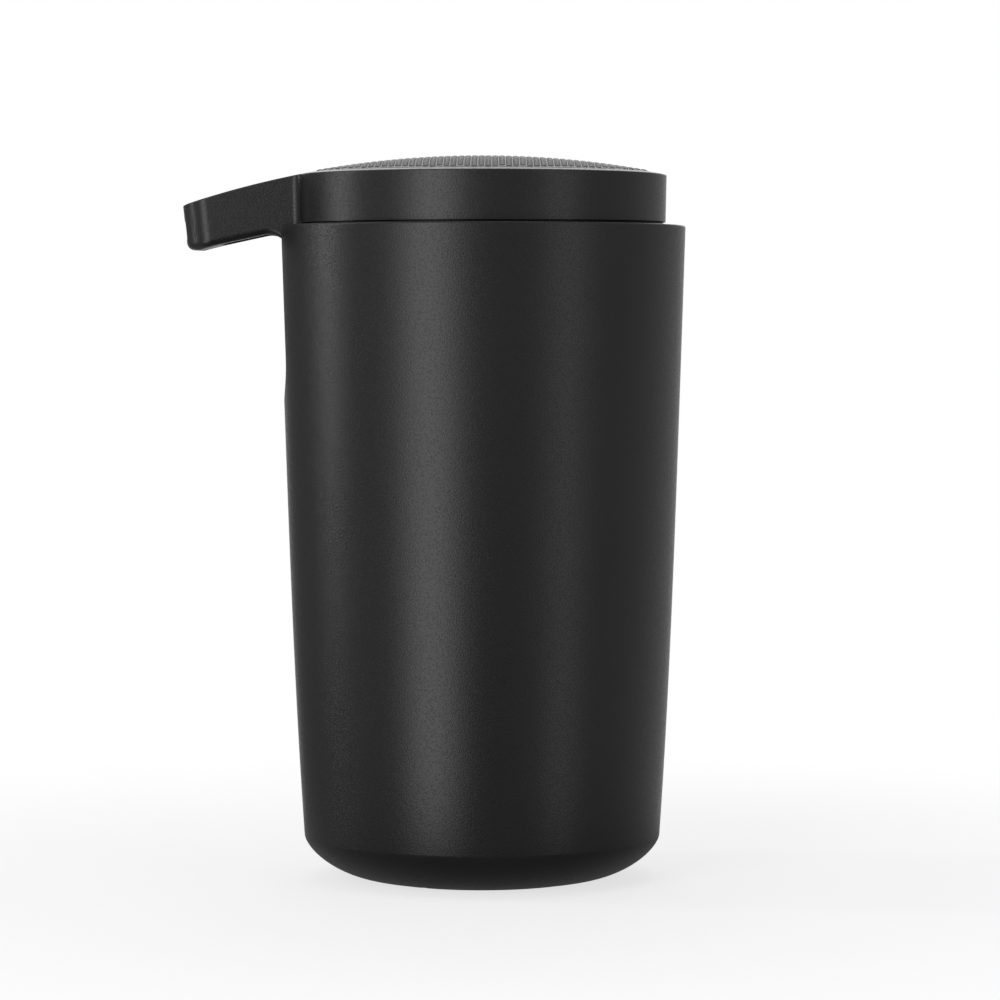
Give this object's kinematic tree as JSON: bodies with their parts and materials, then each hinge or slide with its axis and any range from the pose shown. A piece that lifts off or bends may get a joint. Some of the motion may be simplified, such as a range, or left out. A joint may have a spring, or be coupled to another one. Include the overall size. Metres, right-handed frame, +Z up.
{
  "type": "pump soap dispenser",
  "caption": "Matte black press-top soap dispenser: slotted tapered cup, lift-out bottle, pump with screw collar, and a broad cap whose spout rides in the slot.",
  "frame": {"origin": "centre of the flat underside of the base pad, on the axis of the cup", "axes": "+Z up along the cup's axis, -X along the spout, +Y to the spout's right seen from behind it"},
  "size_m": [0.0963, 0.078, 0.1386],
  "materials": {
    "black_shell": "matte black, fine grain",
    "grip": "soft matte black with raised dots",
    "foot_rubber": "matte",
    "graphite_plastic": "satin",
    "natural_plastic": "satin, natural white",
    "bottle_plastic": "satin, frosted",
    "tube_plastic": "gloss, milky",
    "seal_plastic": "matte",
    "spring_steel": "drawn wire",
    "ball_steel": "polished"
  },
  "bodies": {
    "cup": {"outer_body": "black_shell", "base_pad": "foot_rubber"},
    "bottle": {"inner_bottle": "bottle_plastic"},
    "pump": {"pump_housing": "natural_plastic", "neck_gasket": "foot_rubber", "dip_tube": "tube_plastic", "ball_cage": "natural_plastic", "return_spring": "spring_steel", "stem_guide": "graphite_plastic"},
    "collar": {"screw_collar": "graphite_plastic"},
    "head": {"press_cap": "black_shell", "grip_pad": "grip", "pump_actuator": "graphite_plastic", "nozzle_tube": "tube_plastic", "nozzle_tip": "black_shell", "piston_stem": "natural_plastic", "stem_plug": "natural_plastic", "piston_seal": "seal_plastic", "outlet_retainer": "natural_plastic"},
    "inlet_valve": {"inlet_ball": "ball_steel"},
    "outlet_valve": {"outlet_ball": "ball_steel"}
  },
  "joints": [
    {"name": "bottle_lift", "type": "slide", "parent": "cup", "child": "bottle", "axis": [0, 0, 1], "range_m": [0, 0.13]},
    {"name": "pump_lift", "type": "slide", "parent": "bottle", "child": "pump", "axis": [0, 0, 1], "range_m": [0, 0.008]},
    {"name": "collar_turn", "type": "hinge", "parent": "pump", "child": "collar", "pos_m": [0, 0, 0.104], "axis": [0, 0, 1], "range_deg": [0, 720]},
    {"name": "head_press", "type": "slide", "parent": "pump", "child": "head", "axis": [0, 0, -1], "range_m": [0, 0.008], "stiffness_N_per_m": 500, "springref_m": -0.006, "deforming": ["return_spring"]},
    {"name": "inlet_ball_lift", "type": "slide", "parent": "pump", "child": "inlet_valve", "axis": [0, 0, 1], "range_m": [0, 0.0012]},
    {"name": "outlet_ball_lift", "type": "slide", "parent": "head", "child": "outlet_valve", "axis": [0, 0, 1], "range_m": [0, 0.0012]}
  ],
  "couplings": [
    {"joint": "collar_turn", "follows": "pump_lift", "rad_per_m": 1570.8}
  ]
}
